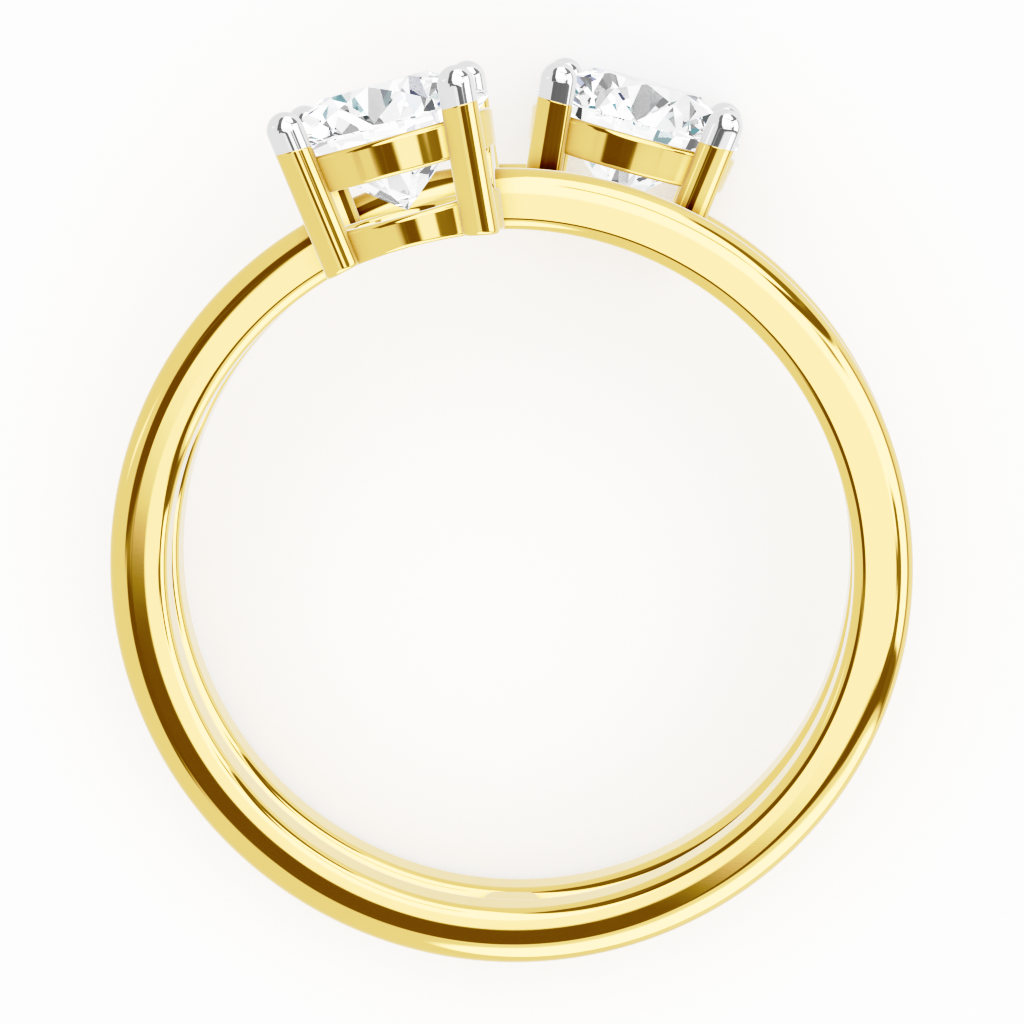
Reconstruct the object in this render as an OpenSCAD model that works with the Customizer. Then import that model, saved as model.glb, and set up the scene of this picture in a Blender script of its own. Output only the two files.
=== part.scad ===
// Bypass ring: two parallel hoops, each with a round stone in a four prong basket.
// The ring's own frame has the finger's axis along Z, the heads towards +Y and the left head's
// hoop in front, at +Z. The right head is the left one after half a turn about Y.
// as_it_lies() lays the finished ring on its side, because that is how it rests by itself.

/* [Hoops] */
// Diameter of the finger hole
bore_d = 16.5; // [15.5:0.1:18]
// Radial thickness of each hoop
hoop_thick = 1.43; // [1.35:0.01:1.6]
// Width of each hoop along the finger
hoop_width = 1.4; // [1.35:0.01:1.6]
// Clear gap between the two hoops
hoop_gap = 0.64; // [0.5:0.01:0.8]
// Rounding of a hoop's outer edges
outer_round = 0.62; // [0.4:0.01:0.64]
// Rounding of a hoop's inner edges
inner_round = 0.3; // [0.15:0.01:0.4]

/* [Bridge] */
// Diameter of the round bridge that joins the hoops at the bottom
bridge_d = 1.34; // [1.1:0.01:1.5]
// How far the bridge stays back from the finger hole
bridge_recess = 0.07; // [0.05:0.01:0.15]
// Radial thickness of the bridge
bridge_thick = 0.95; // [0.7:0.01:1.1]

/* [Heads] */
// Lean of each head away from the ring's middle
head_lean = 15.46; // [15:0.02:17]
// Distance of each head's middle from the plane between the hoops
head_offset = 1.45; // [1.4:0.01:1.5]
// Flare of a prong, seen square on
prong_flare = 6.15; // [5.5:0.05:6.5]
// Diameter of a prong
prong_d = 0.866; // [0.8:0.002:0.9]
// Distance from a prong's dome to the head's middle plane
prong_reach = 2.045; // [2.02:0.005:2.08]
// Distance from the ring's axis to the middle of a prong's dome
dome_h = 11.61; // [11.5:0.01:11.7]
// Distance from the ring's axis to the joint of a gold prong and its white tip
tip_h = 11.12; // [11.05:0.01:11.2]
// Upper edge of the upper rail, from the ring's axis
upper_rail_top = 10.85; // [10.8:0.01:10.9]
// Lower edge of the upper rail, from the ring's axis
upper_rail_bottom = 9.96; // [9.85:0.01:10.05]
// Upper edge of the lower rail, from the ring's axis
lower_rail_top = 9; // [8.9:0.01:9.1]
// How far the rails' outer face lies inside the prongs' middle lines
rail_inset = 0.2; // [0.17:0.01:0.23]
// Wall of the rails and side posts
rail_wall = 0.55; // [0.5:0.01:0.6]
// Rounding of the rails' edges
rail_round = 0.1; // [0.06:0.01:0.14]
// Width of a side post along the finger
post_w = 1.46; // [1.3:0.01:1.6]

/* [Stones] */
// Diameter of each stone
stone_d = 5.11; // [5.05:0.01:5.15]
// Lower edge of the girdle, from the ring's axis
girdle_h = 11.1; // [11.08:0.01:11.14]
// Thickness of the girdle at the points of the main facets
girdle_thick = 0.11; // [0.1:0.01:0.14]
// Corner to corner width of the table as a share of the stone's diameter
table_share = 0.52; // [0.5:0.005:0.6]
// Slope of the crown's main facets
crown_angle = 35; // [34:0.1:36]
// Slope of the pavilion's main facets
pavilion_angle = 39.2; // [39:0.1:39.5]
// How far the star facets reach from the table's edge to the girdle
star_share = 0.5; // [0.45:0.01:0.55]
// How far the lower girdle facets reach from the girdle to the point
lower_half_share = 0.77; // [0.72:0.01:0.82]
// Gap between stone and metal
stone_gap = 0.02; // [0.01:0.005:0.03]

/* [Hidden] */
$fn = 96;
bore_r = bore_d / 2;
outer_r = bore_r + hoop_thick;
half_width = hoop_width / 2;
hoop_mid = (hoop_width + hoop_gap) / 2;

// turns and place that lay the ring on its back hoop and on the right head's rail
rest_tilt = 6.16;
rest_roll = -2.38;
rest_place = [0, -1.365, 2.7545];

// the prongs stand on the corners of a square, where the flare is the diagonal of two slopes
flare_slope = tan(prong_flare);
prong_lean = atan(flare_slope * sqrt(2));
prong_r = prong_d / 2;
corners = [[-1, -1], [1, -1], [1, 1], [-1, 1]];
// the baskets start this low inside the finger hole, which then cuts them to its curve
foot_h = bore_r - 0.6;
prong_long = (dome_h - foot_h) / cos(prong_lean);
// how far a hoop's cut end reaches into the basket wall that it is soldered to
solder = 0.1;
// how far a side post's faces lie inside the rails' faces, and the baskets' feet outside the bore
post_inset = 0.02;
foot_recess = 0.015;
// steps in each rounded edge of a rail
round_steps = 3;
// a size that is clear of the whole ring
beyond = 30;

// a round brilliant has eight main facets above and below, and the others lie half way between
mains = 8;
main_turn = 360 / mains;
half_turn = main_turn / 2;
quarter_turn = main_turn / 4;
stone_r = stone_d / 2;
crown_h = girdle_h + girdle_thick;
table_r = stone_r * table_share;
table_flat_r = table_r * cos(half_turn);
star_r = table_flat_r + (stone_r - table_flat_r) * star_share;
ridge_r = stone_r * (1 - lower_half_share);
// points along the girdle within each half of a main facet's turn
girdle_steps = 6;
girdle_count = 2 * mains * girdle_steps;

// Distance from a prong's middle line to the head's middle plane, at a height on the head
function prong_at(h) = prong_reach - (dome_h - h) * flare_slope;

// Outer radius of the rails and posts at a height on the head
function rail_r(h) = prong_at(h) * sqrt(2) - rail_inset;

function unit(v) = v / norm(v);

// Where an arc of radius r leaves both sides of the corner at here, and the arc's middle
function corner_arc(before, here, after, r) =
    let(
        a = unit(before - here),
        b = unit(after - here),
        half = acos(a * b) / 2
    )
    [here + a * r / tan(half), here + b * r / tan(half), here + unit(a + b) * r / sin(half)];

function corner_arcs(outline, radii) =
    let(count = len(outline))
    [
        for (i = [0:count - 1])
            corner_arc(
                outline[(i + count - 1) % count],
                outline[i],
                outline[(i + 1) % count],
                radii[i]
            )
    ];

// An upright outline with a true arc at each corner
module rounded_outline(outline, radii) {
    arcs = corner_arcs(outline, radii);
    polygon([for (arc = arcs) each [arc[0], arc[1]]]);
    for (i = [0:len(arcs) - 1]) {
        translate(arcs[i][2])
            circle(r = radii[i]);
    }
}

// A slanting outline with each corner rounded in steps, because no arc meets a slanting line
// exactly once its numbers are rounded off
module stepped_outline(outline, radii) {
    polygon([
        for (arc = corner_arcs(outline, radii))
            let(
                from = arc[0] - arc[2],
                to = arc[1] - arc[2]
            )
            for (i = [0:round_steps])
                let(way = from * (round_steps - i) + to * i)
                arc[2] + unit(way) * norm(from)
    ]);
}

module as_it_lies() {
    translate(rest_place)
        rotate([rest_tilt, rest_roll, 0])
            children();
}

// A head's own frame has the head's axis along +Z, from the ring's axis outwards
module on_left_head() {
    rotate([0, 0, head_lean])
        translate([0, 0, head_offset])
            rotate([-90, 0, 0])
                children();
}

module on_right_head() {
    rotate([0, 180, 0])
        on_left_head()
            children();
}

module hoop_at(z) {
    translate([0, 0, z])
        rotate_extrude()
            rounded_outline(
                [
                    [bore_r, -half_width],
                    [outer_r, -half_width],
                    [outer_r, half_width],
                    [bore_r, half_width]
                ],
                [inner_round, outer_round, outer_round, inner_round]
            );
}

module bridge() {
    rotate([90, 0, 0])
        translate([0, 0, bore_r + bridge_recess])
            cylinder(h = bridge_thick, d = bridge_d);
}

// The flaring space inside a basket's walls, grown sideways
module basket_space(grow, top) {
    translate([0, 0, foot_h])
        cylinder(
            h = top - foot_h,
            r1 = rail_r(foot_h) - rail_wall + grow,
            r2 = rail_r(top) - rail_wall + grow
        );
}

module rail(bottom, top) {
    rotate_extrude()
        stepped_outline(
            [
                [rail_r(bottom) - rail_wall, bottom],
                [rail_r(bottom), bottom],
                [rail_r(top), top],
                [rail_r(top) - rail_wall, top]
            ],
            [rail_round, rail_round, rail_round, rail_round]
        );
}

// The posts on both sides of a basket end inside the upper rail
module side_posts() {
    top = (upper_rail_bottom + upper_rail_top) / 2;
    intersection() {
        difference() {
            basket_space(rail_wall - post_inset, top);
            basket_space(post_inset, top + rail_wall);
        }
        translate([-beyond / 2, -post_w / 2, 0])
            cube([beyond, post_w, beyond]);
    }
}

module prong_rod(corner) {
    foot = prong_at(foot_h);
    translate([corner[0] * foot, corner[1] * foot, foot_h])
        rotate([0, prong_lean, atan2(corner[1], corner[0])]) {
            cylinder(h = prong_long, r = prong_r);
            translate([0, 0, prong_long])
                sphere(r = prong_r);
        }
}

module above(h) {
    translate([-beyond / 2, -beyond / 2, h])
        cube(beyond);
}

module gold_prong(corner) {
    difference() {
        prong_rod(corner);
        above(tip_h);
    }
}

module white_tip(corner) {
    difference() {
        intersection() {
            prong_rod(corner);
            above(tip_h);
        }
        stone_space();
    }
}

// The round hollow that a stone sits in, turned from its side view with a little room
module stone_space() {
    r = stone_r + stone_gap;
    bottom = girdle_h - stone_gap;
    top = crown_h + stone_gap;
    rotate_extrude()
        polygon([
            [0, bottom - r * tan(pavilion_angle)],
            [r, bottom],
            [r, top],
            [0, top + r * tan(crown_angle)]
        ]);
}

module basket() {
    difference() {
        union() {
            rail(upper_rail_bottom, upper_rail_top);
            rail(foot_h, lower_rail_top);
            side_posts();
            for (corner = corners) {
                gold_prong(corner);
            }
        }
        stone_space();
    }
}

module ring_frame() {
    color("gold")
        as_it_lies() {
            difference() {
                hoop_at(hoop_mid);
                on_left_head()
                    basket_space(solder, dome_h);
            }
            difference() {
                hoop_at(-hoop_mid);
                on_right_head()
                    basket_space(solder, dome_h);
            }
            bridge();
            difference() {
                union() {
                    on_left_head()
                        basket();
                    on_right_head()
                        basket();
                }
                translate([0, 0, -beyond / 2])
                    cylinder(h = beyond, r = bore_r + foot_recess);
            }
        }
}

// A point of a stone at radius r, turned from the first main facet, at height h
function spoke(r, turn, h) = [r * cos(turn), r * sin(turn), h];

// Rise from the girdle to the point at radius r where two main facets meet
function ridge_rise(r, slope) = (stone_r - r * cos(half_turn)) * tan(slope);

// How deep a girdle facet that ends at such a point cuts into the round girdle
function girdle_dip(r, rise, turn) =
    rise * stone_r * (cos(turn - quarter_turn) - cos(quarter_turn))
        / ((stone_r - r) * cos(quarter_turn));

// The turn within the girdle facet that step k of the girdle belongs to
function facet_turn(k) = (k % girdle_steps) * half_turn / girdle_steps;

module stone() {
    star_rise = ridge_rise(star_r, crown_angle);
    ridge_drop = ridge_rise(ridge_r, pavilion_angle);
    step = 360 / girdle_count;
    main_steps = 2 * girdle_steps;
    table_points = [
        for (i = [0:mains - 1])
            spoke(table_r, i * main_turn, crown_h + (stone_r - table_r) * tan(crown_angle))
    ];
    star_points = [
        for (i = [0:mains - 1])
            spoke(star_r, (i + 0.5) * main_turn, crown_h + star_rise)
    ];
    upper_edge = [
        for (k = [0:girdle_count - 1])
            spoke(stone_r, k * step, crown_h - girdle_dip(star_r, star_rise, facet_turn(k)))
    ];
    lower_edge = [
        for (k = [0:girdle_count - 1])
            spoke(stone_r, k * step, girdle_h + girdle_dip(ridge_r, ridge_drop, facet_turn(k)))
    ];
    ridge_points = [
        for (i = [0:mains - 1])
            spoke(ridge_r, (i + 0.5) * main_turn, girdle_h - ridge_drop)
    ];
    culet = [0, 0, girdle_h - stone_r * tan(pavilion_angle)];
    // number of each group's first point
    star_1 = mains;
    upper_1 = star_1 + mains;
    lower_1 = upper_1 + girdle_count;
    ridge_1 = lower_1 + girdle_count;
    culet_1 = ridge_1 + mains;
    polyhedron(
        points = concat(table_points, star_points, upper_edge, lower_edge, ridge_points, [culet]),
        faces = [
            [for (i = [mains - 1:-1:0]) i],
            for (i = [0:mains - 1])
                let(
                    after = (i + 1) % mains,
                    before = (i + mains - 1) % mains,
                    first = i * main_steps,
                    middle = first + girdle_steps,
                    last = first + main_steps
                )
                each [
                    [i, after, star_1 + i],
                    [i, star_1 + i, upper_1 + first, star_1 + before],
                    [star_1 + i, for (k = [middle:-1:first]) upper_1 + k],
                    [star_1 + i, for (k = [last:-1:middle]) upper_1 + k % girdle_count],
                    [ridge_1 + i, for (k = [first:middle]) lower_1 + k],
                    [ridge_1 + i, for (k = [middle:last]) lower_1 + k % girdle_count],
                    [culet_1, ridge_1 + before, lower_1 + first, ridge_1 + i]
                ],
            for (k = [0:girdle_count - 1])
                let(next = (k + 1) % girdle_count)
                [lower_1 + k, upper_1 + k, upper_1 + next, lower_1 + next]
        ]
    );
}

module left_stone() {
    color("white")
        as_it_lies()
            on_left_head()
                stone();
}

module right_stone() {
    color("white")
        as_it_lies()
            on_right_head()
                stone();
}

module left_tip(corner) {
    color("silver")
        as_it_lies()
            on_left_head()
                white_tip(corner);
}

module right_tip(corner) {
    color("silver")
        as_it_lies()
            on_right_head()
                white_tip(corner);
}

ring_frame();
left_stone();
right_stone();
left_tip(corners[0]);  // left_tip_1
left_tip(corners[1]);  // left_tip_2
left_tip(corners[2]);  // left_tip_3
left_tip(corners[3]);  // left_tip_4
right_tip(corners[0]);  // right_tip_1
right_tip(corners[1]);  // right_tip_2
right_tip(corners[2]);  // right_tip_3
right_tip(corners[3]);  // right_tip_4
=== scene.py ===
import math

import bmesh
import bpy
from mathutils import Matrix, Vector


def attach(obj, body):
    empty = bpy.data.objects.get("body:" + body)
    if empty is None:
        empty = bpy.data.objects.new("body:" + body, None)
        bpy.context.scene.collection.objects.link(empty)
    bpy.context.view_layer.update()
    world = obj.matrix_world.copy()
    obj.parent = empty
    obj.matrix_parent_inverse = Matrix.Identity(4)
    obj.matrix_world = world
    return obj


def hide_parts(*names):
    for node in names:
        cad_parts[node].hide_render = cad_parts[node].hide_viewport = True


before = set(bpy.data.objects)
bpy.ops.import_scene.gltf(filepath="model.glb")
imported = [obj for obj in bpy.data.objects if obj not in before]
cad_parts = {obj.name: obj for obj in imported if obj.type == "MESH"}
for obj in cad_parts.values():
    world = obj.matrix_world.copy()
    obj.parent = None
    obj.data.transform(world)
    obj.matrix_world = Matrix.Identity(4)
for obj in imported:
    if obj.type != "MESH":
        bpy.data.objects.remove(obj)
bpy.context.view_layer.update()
scene = bpy.context.scene

# The ring lies on its side. These turns and this place are the ones that lay it there in CAD.
REST_TILT = math.radians(6.16)
REST_ROLL = math.radians(-2.38)
REST_PLACE = Vector((0, -0.001365, 0.0027545))
TO_ROW = (
    Matrix.Translation(REST_PLACE)
    @ Matrix.Rotation(REST_ROLL, 4, "Y")
    @ Matrix.Rotation(REST_TILT, 4, "X")
)

# Metal work

# CAD's triangles show in polished metal, so its surfaces are drawn finer here, from the same sizes
# as the part's source, in millimetres
MM_PER_M = 1000
BORE_R = 8.25
HOOP_THICK = 1.43
HOOP_WIDTH = 1.4
HOOP_GAP = 0.64
HOOP_MID = (HOOP_WIDTH + HOOP_GAP) / 2
OUTER_ROUND = 0.62
INNER_ROUND = 0.3
# from this radius inwards the flat sides of each hoop fall away by this slope, with a soft start
FALL_FROM = 8.735
FALL_SLOPE = math.tan(math.radians(2.2))
FALL_ROUND = 2
# half of the opening that a head closes
HOOP_END = 1.95
BRIDGE_R = 0.67
BRIDGE_FROM = BORE_R + 0.07
BRIDGE_TO = BRIDGE_FROM + 0.95
BRIDGE_ROUND = 0.06
# the middle of the bridge's flat end is one face of this radius
BRIDGE_MIDDLE_R = 0.3
HEAD_LEAN = math.radians(15.46)
HEAD_OFFSET = 1.45
FLARE = math.tan(math.radians(6.15))
PRONG_R = 0.433
PRONG_REACH = 2.045
DOME_H = 11.61
TIP_H = 11.12
UPPER_RAIL = (9.96, 10.85)
LOWER_RAIL_TOP = 9.0
RAIL_INSET = 0.2
RAIL_WALL = 0.55
RAIL_ROUND = 0.1
RAIL_FOOT_ROUND = 0.06
POST_HALF = 0.73
POST_INSET = 0.02
POST_ROUND = 0.06
# how far a post goes into each rail, and how far outside the rail its next row of points is
POST_INTO_RAIL = 0.2
POST_OUT_OF_RAIL = 0.3
FOOT_R = BORE_R + 0.015
FOOT_ROUND = 0.09
STONE_D = 5.11
STONE_ROOM = 0.02
GIRDLE_LOW = 11.1
GIRDLE_H = 0.11
SEAT_R = STONE_D / 2 + STONE_ROOM
SEAT_LOW = GIRDLE_LOW - STONE_ROOM
SEAT_SLOPE = math.tan(math.radians(39.2))
SEAT_TOP = GIRDLE_LOW + GIRDLE_H + STONE_ROOM
SEAT_TOP_SLOPE = math.tan(math.radians(35))
SEAT_ROUND = 0.03
# the upper rail's inner wall leans, so it meets the seat this much lower
SEAT_DROP = 0.01
# between a straight side's last point and its rounding
TIGHT = 0.004
HOOP_CORNER_STEPS = 16
RAIL_CORNER_STEPS = 6
BRIDGE_CORNER_STEPS = 6
FOOT_CORNER_STEPS = 8
POST_CORNER_STEPS = 4
# a head's prongs in the order of their numbers, as the sides of the head's axes that they stand on
PRONG_SIDES = ((-1, -1), (1, -1), (1, 1), (-1, 1))
# shares of the flat foot, of the prong's height and of the tip's straight height with rows of points
FOOT_SHARES = (0.2, 0.5, 0.8)
PRONG_SHARES = (0.003, 0.25, 0.5, 0.75, 0.9, 0.92, 0.94, 0.95, 0.96, 0.97, 0.98, 0.99, 1)
TIP_SHARES = (0, 0.005, 0.1, 0.2, 0.3, 0.4, 0.5, 0.6, 0.7, 0.8, 0.9, 1)
# the prongs' shading leans outwards a little more than their shape, as their stripes in the
# photograph do
LEFT_SHADE = math.radians(6)
RIGHT_SHADE = math.radians(2)

ON_LEFT_HEAD = (
    Matrix.Rotation(HEAD_LEAN, 4, "Z")
    @ Matrix.Translation((0, 0, HEAD_OFFSET))
    @ Matrix.Rotation(math.radians(-90), 4, "X")
)
HALF_TURN = Matrix.Rotation(math.pi, 4, "Y")


def prong_at(h):
    """How far a prong's axis is from the head's, along each of the head's axes, at this height."""
    return PRONG_REACH - (DOME_H - h) * FLARE


def rail_r(h):
    """The radius of the rails' outer face at this height."""
    return prong_at(h) * math.sqrt(2) - RAIL_INSET


def rounded(outline, radii, steps):
    """A closed outline with its corners rounded. Its straight sides keep a tight row of points
    beside each rounding, so that smooth shading leaves them flat."""
    points = []
    count = len(outline)
    for i, (here, r) in enumerate(zip(outline, radii)):
        here = Vector(here)
        a = (Vector(outline[i - 1]) - here).normalized()
        b = (Vector(outline[(i + 1) % count]) - here).normalized()
        half = a.angle(b) / 2
        middle = here + (a + b).normalized() * r / math.sin(half)
        first = here + a * r / math.tan(half)
        last = here + b * r / math.tan(half)
        turn = math.pi - 2 * half
        points.append(first + a * TIGHT)
        for k in range(steps + 1):
            share = k / steps
            arm = (first - middle) * math.sin((1 - share) * turn)
            arm += (last - middle) * math.sin(share * turn)
            points.append(middle + arm / math.sin(turn))
        points.append(last + b * TIGHT)
    return points


def quarter_round(flat, r, steps):
    """The rounded edge of a flat end, as places out from its middle and up from the end."""
    turns = [math.pi / 2 * k / steps for k in range(steps + 1)]
    return [(flat + r * math.sin(turn), r * (1 - math.cos(turn))) for turn in turns]


class Shell:
    """Gathers grids of points, in millimetres on the ring's own axes, into one mesh."""

    def __init__(self):
        self.points = []
        self.faces = []
        self.turns = []

    def grid(self, rows, place, ring_along=False, caps=False, lean=0.0):
        """Adds a grid of faces, with each row closed to a ring. Its shading leans by this angle about
        the place's own X axis."""
        first = len(self.points)
        width = len(rows[0])
        frame_turn = (TO_ROW @ place).to_3x3()
        turn = frame_turn @ Matrix.Rotation(lean, 3, "X") @ frame_turn.transposed()
        for row in rows:
            self.points += [place @ Vector(point) for point in row]
            self.turns += [turn] * width
        for i in range(len(rows) if ring_along else len(rows) - 1):
            below = first + i * width
            above = first + (i + 1) % len(rows) * width
            for j in range(width):
                k = (j + 1) % width
                self.faces.append((below + j, below + k, above + k, above + j))
        if caps:
            self.faces.append(tuple(first + j for j in reversed(range(width))))
            last = first + (len(rows) - 1) * width
            self.faces.append(tuple(last + j for j in range(width)))

    def finish(self, name, made, node="ring_frame"):
        """Makes the mesh, which is shown in place of this CAD node."""
        mesh = bpy.data.meshes.new(name)
        mesh.from_pydata([TO_ROW @ (point / MM_PER_M) for point in self.points], [], self.faces)
        built = bmesh.new()
        built.from_mesh(mesh)
        bmesh.ops.recalc_face_normals(built, faces=built.faces)
        built.to_mesh(mesh)
        built.free()
        mesh.shade_smooth()
        mesh.normals_split_custom_set_from_vertices(
            [turn @ vertex.normal for turn, vertex in zip(self.turns, mesh.vertices)]
        )
        mesh.materials.append(made)
        piece = bpy.data.objects.new(name, mesh)
        scene.collection.objects.link(piece)
        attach(piece, "root")
        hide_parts(node)
        keep_out_of_mirrors(piece)


def keep_out_of_mirrors(piece):
    """The metal and the stones show the studio and not this piece, as in the photograph."""
    piece.visible_glossy = False
    piece.visible_transmission = False


def hoop(name, place, made):
    """A hoop with its middle in the plane z = 0 and its opening for the head about +Y."""
    half = HOOP_WIDTH / 2
    outer = BORE_R + HOOP_THICK
    low = half - (FALL_FROM - BORE_R) * FALL_SLOPE
    outline = rounded(
        [
            (BORE_R, -low), (FALL_FROM, -half), (outer, -half),
            (outer, half), (FALL_FROM, half), (BORE_R, low),
        ],
        [INNER_ROUND, FALL_ROUND, OUTER_ROUND, OUTER_ROUND, FALL_ROUND, INNER_ROUND],
        HOOP_CORNER_STEPS,
    )
    steps = 360
    rows = []
    for i in range(steps + 1):
        row = []
        for r, z in outline:
            gap = math.asin(HOOP_END / r)
            turn = math.pi / 2 + gap + (2 * math.pi - 2 * gap) * i / steps
            row.append((r * math.cos(turn), r * math.sin(turn), z))
        rows.append(row)
    shell = Shell()
    shell.grid(rows, place, caps=True)
    shell.finish(name, made)


def bridge(made):
    """The round peg between the hoops, from its end in the finger hole outwards."""
    steps = 64
    turns = [2 * math.pi * i / steps for i in range(steps)]
    flat = BRIDGE_R - BRIDGE_ROUND
    profile = [(BRIDGE_MIDDLE_R, 0), (flat - TIGHT, 0)]
    profile += quarter_round(flat, BRIDGE_ROUND, BRIDGE_CORNER_STEPS)
    profile += [(BRIDGE_R, BRIDGE_ROUND + TIGHT), (BRIDGE_R, BRIDGE_TO - BRIDGE_FROM)]
    rows = [
        [(r * math.cos(turn), -(BRIDGE_FROM + out), r * math.sin(turn)) for turn in turns]
        for r, out in profile
    ]
    shell = Shell()
    shell.grid(rows, Matrix.Identity(4), caps=True)
    shell.finish("bridge", made)


def rail_rows(corners_at):
    """Rows of a rail that runs round a head, from its corners at each turn."""
    steps = 240
    rows = []
    for i in range(steps):
        turn = 2 * math.pi * i / steps
        corners, radii = corners_at(turn)
        outline = rounded(corners, radii, RAIL_CORNER_STEPS)
        rows.append([(r * math.cos(turn), r * math.sin(turn), h) for r, h in outline])
    return rows


def upper_rail(_):
    """The upper rail's corners and their roundings, which are the same at each turn."""
    low, high = UPPER_RAIL
    inner = rail_r(high) - RAIL_WALL
    seat_low = SEAT_LOW - (SEAT_R - inner) * SEAT_SLOPE
    seat_high = SEAT_R - (SEAT_LOW - high) / SEAT_SLOPE
    return (
        [
            (rail_r(low) - RAIL_WALL, low), (rail_r(low), low), (rail_r(high), high),
            (seat_high, high), (rail_r(seat_low) - RAIL_WALL, seat_low - SEAT_DROP),
        ],
        [RAIL_ROUND, RAIL_ROUND, RAIL_ROUND, SEAT_ROUND, SEAT_ROUND],
    )


def foot_height(inset, turn):
    """Where the wall that stands inset inside the rail's outer face meets the finger hole."""
    h = FOOT_R
    passes = 20
    for _ in range(passes):
        h = math.sqrt(FOOT_R ** 2 - ((rail_r(h) - inset) * math.cos(turn)) ** 2)
    return h


def lower_rail(turn):
    """The lower rail's corners and their roundings. Its foot follows the finger hole."""
    inner = foot_height(RAIL_WALL, turn)
    outer = foot_height(0, turn)
    return (
        [
            (rail_r(inner) - RAIL_WALL, inner), (rail_r(outer), outer),
            (rail_r(LOWER_RAIL_TOP), LOWER_RAIL_TOP),
            (rail_r(LOWER_RAIL_TOP) - RAIL_WALL, LOWER_RAIL_TOP),
        ],
        [RAIL_FOOT_ROUND, RAIL_ROUND, RAIL_ROUND, RAIL_ROUND],
    )


def clear_of_stone(x, y, h):
    """Moves a point outwards to the face of the stone's seat if it lies inside it."""
    r = math.hypot(x, y)
    seat = SEAT_R - max(0.0, SEAT_LOW - h) / SEAT_SLOPE - max(0.0, h - SEAT_TOP) / SEAT_TOP_SLOPE
    if r < seat:
        return (x * seat / r, y * seat / r, h)
    return (x, y, h)


def prong_ways(x_side, y_side):
    """The way up a prong, and the ways out of it all round."""
    steps = 72
    axis = Vector((x_side * FLARE, y_side * FLARE, 1)).normalized()
    one = axis.orthogonal().normalized()
    two = axis.cross(one)
    turns = [2 * math.pi * i / steps for i in range(steps)]
    return axis, [one * math.cos(turn) + two * math.sin(turn) for turn in turns]


def prong_rows(x_side, y_side):
    """Rows of a gold prong, from the middle of its foot round the foot's edge and up its side."""
    axis, ways = prong_ways(x_side, y_side)
    start = Vector((x_side * prong_at(BORE_R), y_side * prong_at(BORE_R), BORE_R))
    flat = PRONG_R - FOOT_ROUND
    foot = [(flat * share, 0) for share in FOOT_SHARES] + [(flat - TIGHT, 0)]
    foot += quarter_round(flat, FOOT_ROUND, FOOT_CORNER_STEPS)
    rows = []
    for r, lift in foot:
        row = []
        for way_out in ways:
            point = start + way_out * r
            # the way down the prong from here to the finger hole
            a = axis.x ** 2 + axis.z ** 2
            b = point.x * axis.x + point.z * axis.z
            c = point.x ** 2 + point.z ** 2 - FOOT_R ** 2
            way = (-b + math.sqrt(b * b - a * c)) / a
            row.append(point + axis * (way + lift))
        rows.append(row)
    base = rows[-1]
    tops = [(TIP_H - point.z) / axis.z for point in base]
    for share in PRONG_SHARES:
        rows.append([
            clear_of_stone(*(point + axis * top * share)) for point, top in zip(base, tops)
        ])
    return rows


def tip_rows(x_side, y_side):
    """Rows of a white tip, from its joint with the gold prong up over its dome."""
    axis, ways = prong_ways(x_side, y_side)
    middle = Vector((x_side * PRONG_REACH, y_side * PRONG_REACH, DOME_H))
    up_side = []
    for share in TIP_SHARES:
        row = []
        for way_out in ways:
            rim = middle + way_out * PRONG_R
            row.append(rim - axis * (rim.z - TIP_H) / axis.z * (1 - share))
        up_side.append(row)
    over_dome = []
    steps = 20
    for k in range(1, steps):
        climb = math.pi / 2 * k / steps
        over_dome.append([
            middle + (way_out * math.cos(climb) + axis * math.sin(climb)) * PRONG_R for way_out in ways
        ])
    return [[clear_of_stone(*point) for point in row] for row in up_side + over_dome]


def post_rows(side):
    """Rows of the post between the rails on one side of a head."""
    outline = rounded(
        [
            (-POST_HALF, POST_INSET), (POST_HALF, POST_INSET),
            (POST_HALF, RAIL_WALL - POST_INSET), (-POST_HALF, RAIL_WALL - POST_INSET),
        ],
        [POST_ROUND] * 4,
        POST_CORNER_STEPS,
    )
    low = LOWER_RAIL_TOP
    high = UPPER_RAIL[0]
    heights = (
        low - POST_INTO_RAIL, low + POST_OUT_OF_RAIL,
        high - POST_OUT_OF_RAIL, high + POST_INTO_RAIL,
    )
    rows = []
    for h in heights:
        row = []
        for across, inset in outline:
            r = rail_r(h) - inset
            row.append((side * math.sqrt(r * r - across * across), across, h))
        rows.append(row)
    return rows


def basket(side_name, place, made, tip_made, lean):
    """One head: rails, posts and prongs in one mesh, and each white tip in its own."""
    shell = Shell()
    shell.grid(rail_rows(upper_rail), place, ring_along=True)
    shell.grid(rail_rows(lower_rail), place, ring_along=True)
    for i, (x_side, y_side) in enumerate(PRONG_SIDES, 1):
        shell.grid(prong_rows(x_side, y_side), place, caps=True, lean=-y_side * lean)
        tip = Shell()
        tip.grid(tip_rows(x_side, y_side), place, caps=True, lean=-y_side * lean)
        tip.finish(f"{side_name}_dome_{i}", tip_made, f"{side_name}_tip_{i}")
    for side in (-1, 1):
        shell.grid(post_rows(side), place, caps=True)
    shell.finish(f"{side_name}_basket", made)


def make_metal_work(made, tip_made):
    lean = Matrix.Rotation(HEAD_LEAN, 4, "Z")
    front = lean @ Matrix.Translation((0, 0, HOOP_MID))
    hoop("front_hoop", front, made)
    hoop("back_hoop", HALF_TURN @ front, made)
    bridge(made)
    basket("left", ON_LEFT_HEAD, made, tip_made, LEFT_SHADE)
    basket("right", HALF_TURN @ ON_LEFT_HEAD, made, tip_made, RIGHT_SHADE)


# Camera

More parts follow.
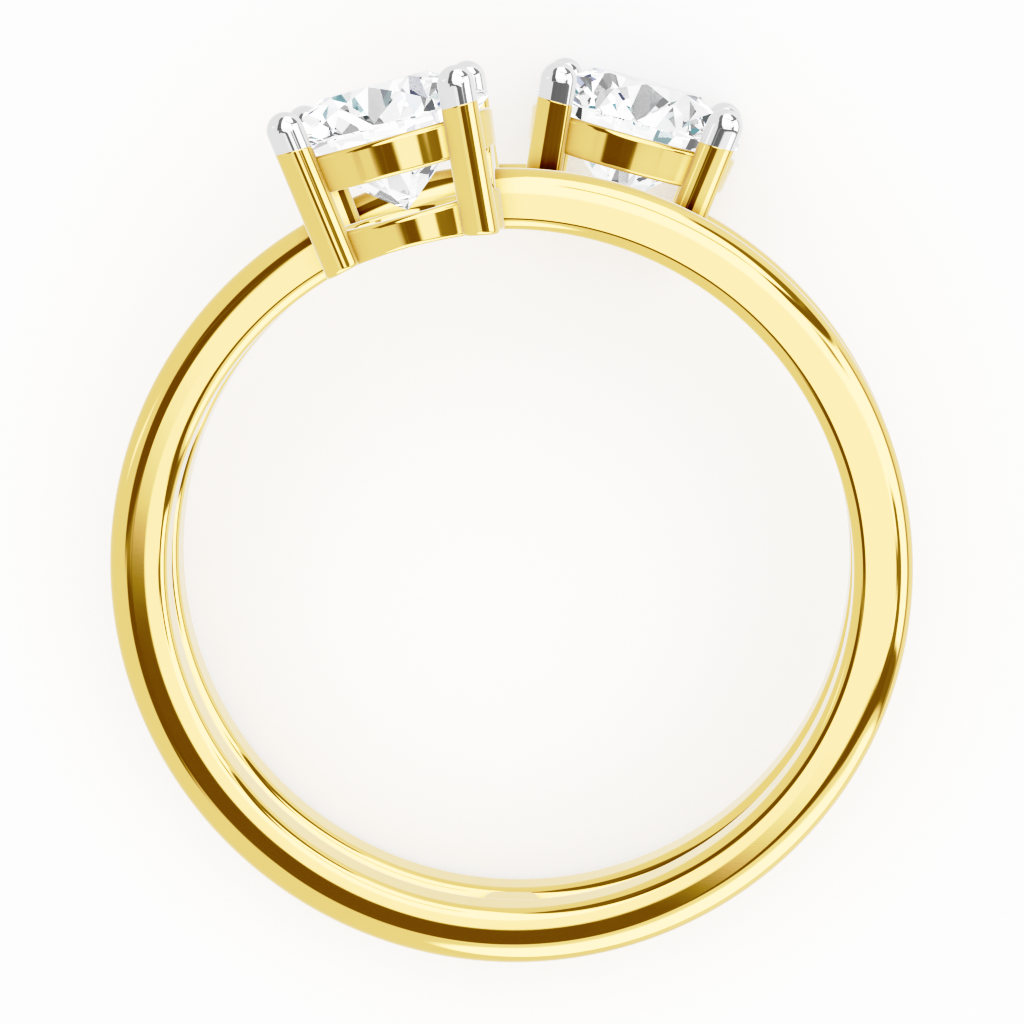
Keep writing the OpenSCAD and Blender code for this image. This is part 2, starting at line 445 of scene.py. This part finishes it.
# the photograph's view along the finger hole, in the ring's own axes, in metres
CAMERA_AT = Vector((0.004712, 0.014476, 0.088827))
CAMERA_TO = Vector((0.0000018, 0.0012753, 0))
CAMERA_ROLL = math.radians(-0.082)
LENS_MM = 129.95
SENSOR_MM = 36
NEAREST = 0.001
FARTHEST = 10


def make_camera():
    data = bpy.data.cameras.new("camera")
    data.sensor_width = SENSOR_MM
    data.lens = LENS_MM
    data.clip_start = NEAREST
    data.clip_end = FARTHEST
    camera = bpy.data.objects.new("camera", data)
    scene.collection.objects.link(camera)
    back = (CAMERA_AT - CAMERA_TO).normalized()
    roughly_up = Vector((math.sin(CAMERA_ROLL), math.cos(CAMERA_ROLL), 0))
    right = roughly_up.cross(back).normalized()
    up = back.cross(right)
    turn = Matrix((right, up, back)).transposed().to_4x4()
    camera.matrix_world = TO_ROW @ Matrix.Translation(CAMERA_AT) @ turn
    scene.camera = camera


# Node helpers

class Nodes:
    """The nodes of one tree. A value given to them is a number, a tuple or another node's socket."""

    def __init__(self, tree):
        self.tree = tree
        tree.nodes.clear()

    def add(self, kind, **settings):
        node = self.tree.nodes.new(kind)
        for name, value in settings.items():
            setattr(node, name, value)
        return node

    def put(self, value, socket):
        if isinstance(value, bpy.types.NodeSocket):
            self.tree.links.new(value, socket)
        else:
            socket.default_value = value

    def math(self, operation, *values):
        node = self.add("ShaderNodeMath", operation=operation)
        for value, socket in zip(values, node.inputs):
            self.put(value, socket)
        return node.outputs[0]

    def dot(self, a, b):
        node = self.add("ShaderNodeVectorMath", operation="DOT_PRODUCT")
        self.put(a, node.inputs[0])
        self.put(b, node.inputs[1])
        return node.outputs["Value"]

    def smooth(self, value, low, high, out_low=0.0, out_high=1.0):
        node = self.add("ShaderNodeMapRange", interpolation_type="SMOOTHSTEP")
        for given, socket in zip((value, low, high, out_low, out_high), node.inputs):
            self.put(given, socket)
        return node.outputs[0]

    def mix(self, share, a, b):
        node = self.add("ShaderNodeMix", data_type="FLOAT")
        self.put(share, node.inputs[0])
        self.put(a, node.inputs[2])
        self.put(b, node.inputs[3])
        return node.outputs[0]

    def blend(self, share, a, b):
        """The same as mix, for colours."""
        node = self.add("ShaderNodeMix", data_type="RGBA")
        self.put(share, node.inputs[0])
        self.put(a, node.inputs[6])
        self.put(b, node.inputs[7])
        return node.outputs[2]


# Studio

# A pale room with a few dark frames, placed by longitude and latitude as the ring sees them.
# Longitude 0 is along the finger hole towards the camera and grows to the right, and latitude grows
# from the ring's middle towards the heads.
WALL = 1.0
# what lights the surfaces evenly from all sides, while mirrored and bent rays see the room
EVEN_LIGHT = 1.3
# name, longitude from and to, latitude from and to, softness of the edges, brightness.
# An edge is a number, or (number, slope) where it slants with the other angle.
PANELS = [
    ("back left", -200, -148, -45, 18, 12, 1.2),
    ("back right", 152, 200, -40, 20, 12, 1.2),
    ("right wall", 112, 150, -70, 70, 10, 1.15),
    ("spot", -82, -65, (34.5, 0.38), (40, 0.38), 2.5, 1.7),
    ("bright room", -18, 108, -30, 100, 1.5, 1.95),
    ("bright floor", (20.2, 0.7), 108, -100, -30, 3, 1.95),
    ("bright front", -14, 41, -18, 8, 4, 1.61),
    ("dark door", -42, (-12, -0.38), -8, 12, 2.2, 0.31),
    ("dark door foot", -32, (-12, -0.38), (-19.9, 0.17), -8, 2.2, 0.31),
    ("dark door top", -41.5, (-15.5, -0.08), 11, 40, 2, 0.31),
    ("dark ceiling edge", (-21, -0.6), (-15, -0.09), 38, 76, 3, 0.35),
    ("sill", 30, 110, -31.5, -20, 1.5, 1.05),
    ("sill left", -10, 60, -36.5, -19, 3, 1.17),
    ("sill corner", -24, -6, -36, -20.5, 2, 1.0),
    ("low frame left", -12, 2, -22, (-13.5, -0.5), 1.3, 0.32),
    ("low frame front", 1, 32, (-20.8, -0.21), (-13.2, -0.15), 1.3, 0.32),
    ("low frame", 31, 66, -27.6, (-21.5, 0.12), 1, 0.33),
    ("low frame right", 64, 112, (-24, -0.06), (-12, -0.1), 1.2, 0.36),
    ("grey corner", (51, 0.3), 63, -19, 2, 2, 0.41),
    ("grey corner side", 39, 52, -11, -5.5, 2, 0.41),
    ("bright window", 64, 96, (-11, -0.1), 27.5, 1.5, 1.95),
    ("window frame", 98, 110, -30, 29, 2, 0.6),
    ("high frame", 46, 110, 30, 38.5, 1.5, 0.35),
    ("high corner", (47, 0.64), 110, 37, 62, 2.5, 0.4),
    ("high streak", 8, 48, (55.5, -0.37), (60.5, -0.37), 2, 0.75),
    ("small frame", 49, 61, 21, 27, 1.5, 0.6),
]
# the stones gather light from all over the room, which for them has more contrast and dim patches:
# a strength is multiplied and shifted by these, and falls to this share in the patches
CRISP_GAIN = 1.75
CRISP_SHIFT = -0.45
DIM_SHARE = 0.12
# each wave is times round the room and a shift in radians
PATCH_WAVE_ROUND = (7, 0)
PATCH_WAVE_UP = (9, 1.0)
PATCH_EDGES = (-1.15, -0.5)
# some of the patches are blue or teal
COOL_WAVE_ROUND = (2, -0.7)
COOL_EDGES = (-0.3, 0.3)
BLUE_WAVE_UP = (3, 0)
BLUE_EDGES = (0.2, -0.2)
TEAL = (0.3, 0.9, 1.0, 1)
BLUE = (0.3, 0.4, 1.0, 1)
WHITE = (1, 1, 1, 1)
# a count of rays is over this from the first ray on
ANY = 0.5


def along(nodes, edge, other):
    """An edge's angle, which may slant with the other angle."""
    if isinstance(edge, tuple):
        return nodes.math("MULTIPLY_ADD", other, edge[1], edge[0])
    return edge


def window(nodes, value, low, high, soft, other):
    """1 between low and high, falling to 0 over soft degrees to each side of both."""
    above = nodes.math("SUBTRACT", value, along(nodes, low, other))
    below = nodes.math("SUBTRACT", along(nodes, high, other), value)
    return nodes.math("MULTIPLY", nodes.smooth(above, -soft, soft), nodes.smooth(below, -soft, soft))


def wave(nodes, angle, times, shift):
    """A sine of so many times an angle in degrees, shifted by radians."""
    return nodes.math("SINE", nodes.math("MULTIPLY_ADD", angle, math.radians(times), shift))


def make_studio():
    world = bpy.data.worlds.new("studio")
    scene.world = world
    world.use_nodes = True
    nodes = Nodes(world.node_tree)
    out = nodes.add("ShaderNodeOutputWorld")
    back = nodes.add("ShaderNodeBackground")
    way = nodes.add("ShaderNodeTexCoord").outputs["Generated"]
    x, y, z = (nodes.dot(way, tuple(axis)) for axis in TO_ROW.to_3x3().transposed())
    lon = nodes.math("MULTIPLY", nodes.math("ARCTAN2", x, z), math.degrees(1))
    lat = nodes.math("MULTIPLY", nodes.math("ARCSINE", y), math.degrees(1))
    light = WALL
    for _, west, east, low, high, soft, level in PANELS:
        across = window(nodes, lon, west, east, soft, lat)
        upright = window(nodes, lat, low, high, soft, lon)
        light = nodes.mix(nodes.math("MULTIPLY", across, upright), light, level)
    path = nodes.add("ShaderNodeLightPath")
    through = nodes.math("GREATER_THAN", path.outputs["Transmission Depth"], ANY)
    across = wave(nodes, lon, *PATCH_WAVE_ROUND)
    upright = wave(nodes, lat, *PATCH_WAVE_UP)
    pale = nodes.smooth(nodes.math("ADD", across, upright), *PATCH_EDGES)
    crisp = nodes.math("MULTIPLY_ADD", light, CRISP_GAIN, CRISP_SHIFT)
    dimmed = nodes.math("MULTIPLY_ADD", pale, 1 - DIM_SHARE, DIM_SHARE)
    crisp = nodes.math("MULTIPLY", crisp, dimmed)
    nodes.put(nodes.mix(through, light, crisp), back.inputs["Strength"])
    cool = nodes.smooth(wave(nodes, lon, *COOL_WAVE_ROUND), *COOL_EDGES)
    cool = nodes.math("MULTIPLY", cool, nodes.math("SUBTRACT", 1.0, pale))
    blue = nodes.smooth(wave(nodes, lat, *BLUE_WAVE_UP), *BLUE_EDGES)
    shade = nodes.blend(blue, TEAL, BLUE)
    tint = nodes.blend(nodes.math("MULTIPLY", cool, through), WHITE, shade)
    nodes.put(tint, back.inputs["Color"])
    even = nodes.add("ShaderNodeBackground")
    even.inputs["Color"].default_value = WHITE
    even.inputs["Strength"].default_value = EVEN_LIGHT
    mirrored = nodes.math("MAXIMUM", path.outputs["Is Glossy Ray"], path.outputs["Is Transmission Ray"])
    choice = nodes.add("ShaderNodeMixShader")
    nodes.put(mirrored, choice.inputs[0])
    nodes.put(even.outputs[0], choice.inputs[1])
    nodes.put(back.outputs[0], choice.inputs[2])
    nodes.put(choice.outputs[0], out.inputs[0])


# Materials

# shares of red, green and blue light that the metals mirror
GOLD_COLOUR = (1.0, 0.73, 0.365)
WHITE_GOLD_COLOUR = (0.92, 0.92, 0.92)
# roughness where the polish is best, and what wear adds in places
POLISH = 0.035
WEAR = 0.02
# the colour's share that stays where it is a little darker
DARKER = 0.985
# sizes of the polish's uneven patches and of the scratches, as how many fit in a metre
PATCHES_PER_M = 900
HAIRS_PER_M = 3000
HAIR_STRETCH = (1, 14, 5)
HAIR_TURN = (0.3, 0.5, 0.9)
HAIR_DEPTH = 0.000002
HAIR_STRENGTH = 0.02
# painted shade, in creases and where pieces meet, shows within this many metres of another surface and
# leaves these shares of the colour
CREASE_SHADE_REACH = 0.0006
CREASE_SHADE_EDGES = (0.25, 0.9)
CREASE_SHADE = (0.42, 0.36, 0.25)
DIAMOND_IOR = 2.42
# light that has been mirrored so many times inside a stone leaves it
INNER_MIRRORINGS = 4


def material(name):
    made = bpy.data.materials.new(name)
    made.use_nodes = True
    nodes = Nodes(made.node_tree)
    out = nodes.add("ShaderNodeOutputMaterial")
    return made, nodes, out


def polished_metal(name, colour):
    """Polished metal with hair-fine scratches from wear, a faintly uneven polish, and painted shade
    that darkens its colour where pieces meet."""
    made, nodes, out = material(name)
    shader = nodes.add("ShaderNodeBsdfPrincipled")
    shader.inputs["Metallic"].default_value = 1
    place = nodes.add("ShaderNodeTexCoord").outputs["Object"]
    cloud = nodes.add("ShaderNodeTexNoise")
    cloud.inputs["Scale"].default_value = PATCHES_PER_M
    cloud.inputs["Detail"].default_value = 3
    nodes.put(place, cloud.inputs["Vector"])
    stretch = nodes.add("ShaderNodeMapping")
    stretch.inputs["Rotation"].default_value = HAIR_TURN
    stretch.inputs["Scale"].default_value = HAIR_STRETCH
    nodes.put(place, stretch.inputs["Vector"])
    hairs = nodes.add("ShaderNodeTexNoise")
    hairs.inputs["Scale"].default_value = HAIRS_PER_M
    hairs.inputs["Detail"].default_value = 2
    nodes.put(stretch.outputs[0], hairs.inputs["Vector"])
    rough = nodes.smooth(cloud.outputs[0], 0.3, 0.7, POLISH, POLISH + WEAR)
    nodes.put(rough, shader.inputs["Roughness"])
    darker = (*(c * DARKER for c in colour), 1)
    tone = nodes.blend(nodes.smooth(cloud.outputs[0], 0.2, 0.8), (*colour, 1), darker)
    # painted shade: the colour darkens where another surface is near, in creases and joints
    near = nodes.add("ShaderNodeAmbientOcclusion", samples=4)
    near.inputs["Distance"].default_value = CREASE_SHADE_REACH
    crease_shaded = (*(c * left for c, left in zip(colour, CREASE_SHADE)), 1)
    unshaded = nodes.smooth(near.outputs["AO"], *CREASE_SHADE_EDGES)
    nodes.put(nodes.blend(unshaded, crease_shaded, tone), shader.inputs["Base Color"])
    bump = nodes.add("ShaderNodeBump")
    bump.inputs["Strength"].default_value = HAIR_STRENGTH
    bump.inputs["Distance"].default_value = HAIR_DEPTH
    nodes.put(hairs.outputs[0], bump.inputs["Height"])
    nodes.put(bump.outputs[0], shader.inputs["Normal"])
    nodes.tree.links.new(shader.outputs[0], out.inputs[0])
    return made


def diamond():
    """Clear stone. The metal doesn't mirror it, as it doesn't mirror itself, and after a few inner
    mirrorings light leaves it."""
    made, nodes, out = material("diamond")
    glass = nodes.add("ShaderNodeBsdfGlass")
    glass.inputs["IOR"].default_value = DIAMOND_IOR
    glass.inputs["Roughness"].default_value = 0
    path = nodes.add("ShaderNodeLightPath")
    outside = nodes.math("LESS_THAN", path.outputs["Transmission Depth"], ANY)
    from_metal = nodes.math("MULTIPLY", path.outputs["Is Glossy Ray"], outside)
    leaves = nodes.math("GREATER_THAN", path.outputs["Glossy Depth"], INNER_MIRRORINGS - ANY)
    choice = nodes.add("ShaderNodeMixShader")
    nodes.put(nodes.math("MAXIMUM", from_metal, leaves), choice.inputs[0])
    nodes.put(glass.outputs[0], choice.inputs[1])
    nodes.put(nodes.add("ShaderNodeBsdfTransparent").outputs[0], choice.inputs[2])
    nodes.put(choice.outputs[0], out.inputs[0])
    return made


def paint(node_name, made):
    """Gives a CAD node its material."""
    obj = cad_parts[node_name]
    for slot in obj.material_slots:
        slot.material = made
    if not obj.material_slots:
        obj.data.materials.append(made)


# Floor

FLOOR_HALF = 0.4
FLOOR_COLOUR = (0.9, 0.9, 0.9, 1)
# light of its own, which keeps the floor pale
FLOOR_GLOW = 0.5


def make_floor():
    half = FLOOR_HALF
    corners = [(-half, -half, 0), (half, -half, 0), (half, half, 0), (-half, half, 0)]
    mesh = bpy.data.meshes.new("floor")
    mesh.from_pydata(corners, [], [(0, 1, 2, 3)])
    floor = bpy.data.objects.new("floor", mesh)
    scene.collection.objects.link(floor)
    made, nodes, out = material("pale_floor")
    shader = nodes.add("ShaderNodeBsdfPrincipled")
    shader.inputs["Base Color"].default_value = FLOOR_COLOUR
    shader.inputs["Roughness"].default_value = 0.7
    shader.inputs["Emission Color"].default_value = WHITE
    shader.inputs["Emission Strength"].default_value = FLOOR_GLOW
    nodes.tree.links.new(shader.outputs[0], out.inputs[0])
    mesh.materials.append(made)
    keep_out_of_mirrors(floor)


# Colour

# the photograph is contrasty, so the darks are pulled down and the lights kept
WHITE_LEVEL = 2.0
# light before and after, in linear values
TONE = [
    (0, 0), (0.11, 0), (0.175, 0.006), (0.217, 0.045), (0.2975, 0.147), (0.383, 0.25), (0.53, 0.43),
    (0.574, 0.479), (0.722, 0.655), (0.989, 0.81), (1.148, 0.86), (1.573, 0.98), (2, 1),
]


def make_look():
    scene.view_settings.view_transform = "Standard"
    scene.view_settings.use_curve_mapping = True
    mapping = scene.view_settings.curve_mapping
    mapping.white_level = (WHITE_LEVEL,) * 3
    # the curve that all three colours share
    curve = mapping.curves[3]
    curve.points[0].location = TONE[0]
    curve.points[-1].location = (TONE[-1][0] / WHITE_LEVEL, TONE[-1][1])
    for before, after in TONE[1:-1]:
        curve.points.new(before / WHITE_LEVEL, after)
    for point in curve.points:
        point.handle_type = "VECTOR"
    mapping.update()


# The scene

gold = polished_metal("yellow_gold", GOLD_COLOUR)
white = polished_metal("white_gold", WHITE_GOLD_COLOUR)
clear = diamond()
make_metal_work(gold, white)
for side in ("left", "right"):
    paint(f"{side}_stone", clear)
make_camera()
make_studio()
make_floor()
make_look()
